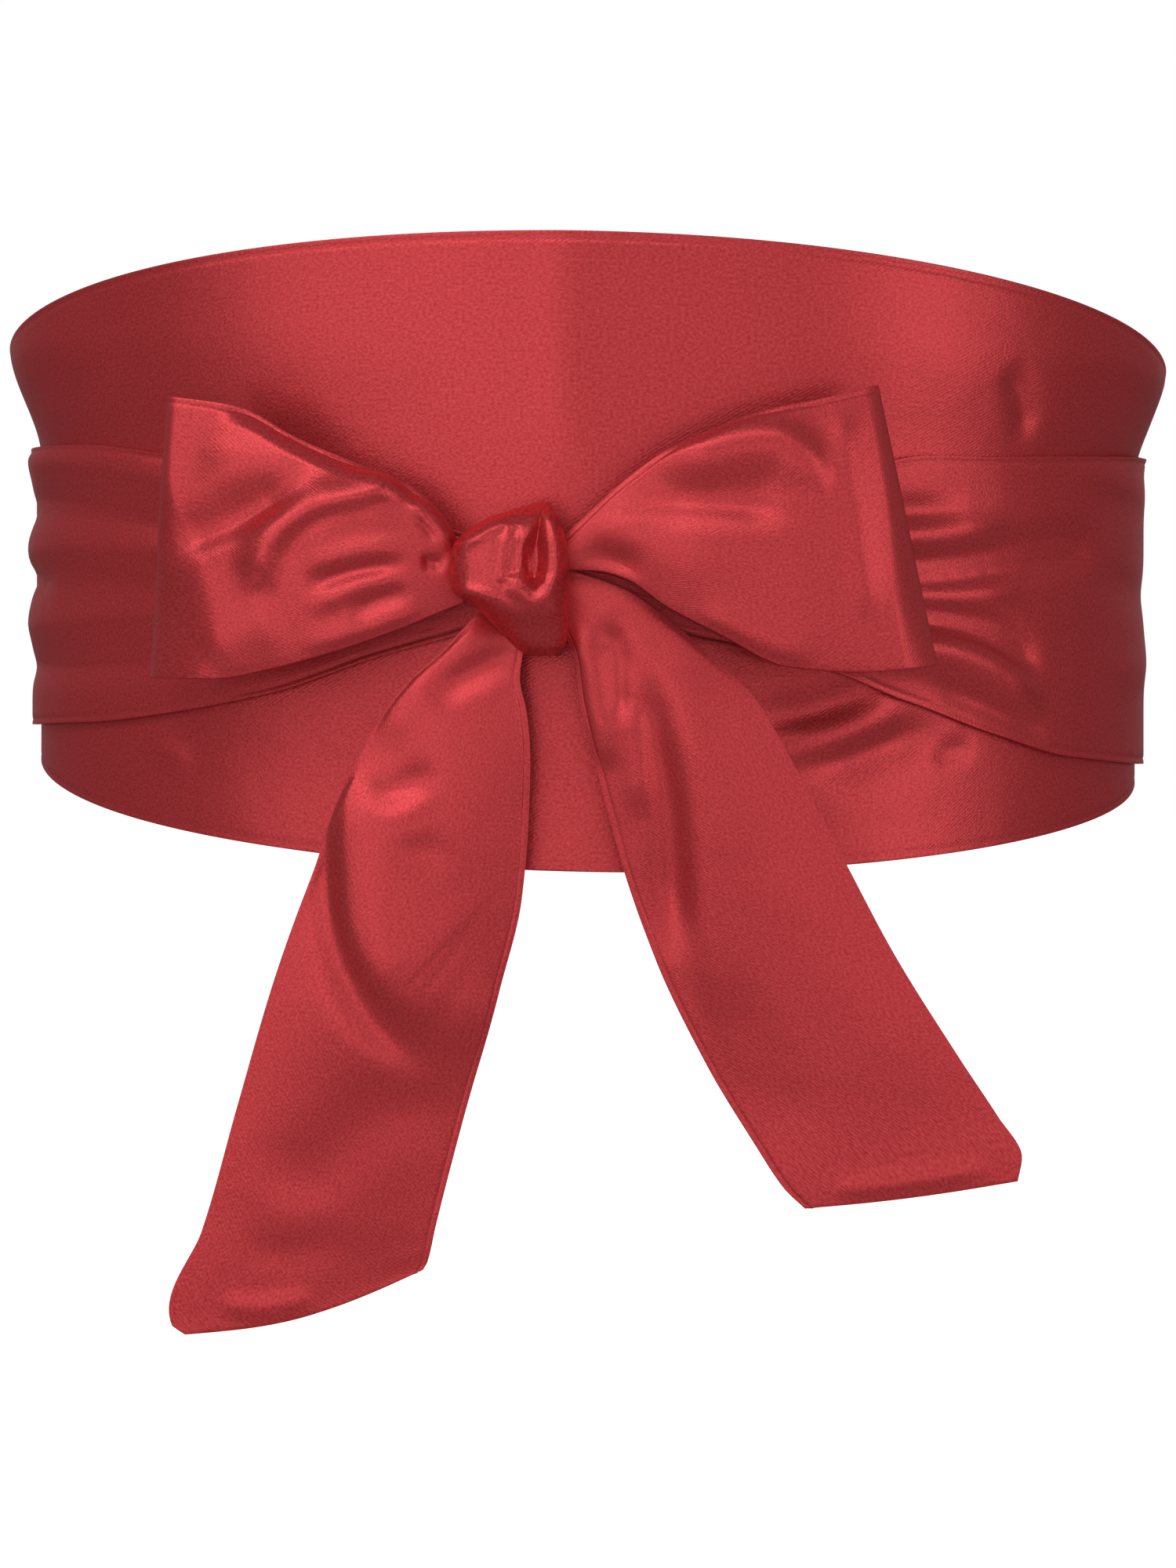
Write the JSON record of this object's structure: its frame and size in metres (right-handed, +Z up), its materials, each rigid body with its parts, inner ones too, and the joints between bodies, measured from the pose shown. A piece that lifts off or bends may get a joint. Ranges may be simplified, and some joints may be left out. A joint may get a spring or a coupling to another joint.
{
  "type": "satin waist sash",
  "caption": "Wide satin waist sash, worn and tied: a shaped panel round the front and sides, ties crossed behind and knotted in a bow in front.",
  "frame": {"origin": "middle of the waist hollow, level with the middle of the panel's front", "axes": "+Z up, -Y the front with the bow, +X to the right of someone who faces the bow"},
  "size_m": [0.2888, 0.2246, 0.2559],
  "materials": {
    "satin": "red satin with a soft sheen"
  },
  "bodies": {
    "root": {"panel": "satin", "wrap_left": "satin", "wrap_right": "satin", "back_under": "satin", "back_over": "satin", "bow_loop_left": "satin", "bow_loop_right": "satin", "knot": "satin", "tail_left": "satin", "tail_right": "satin"}
  },
  "joints": []
}
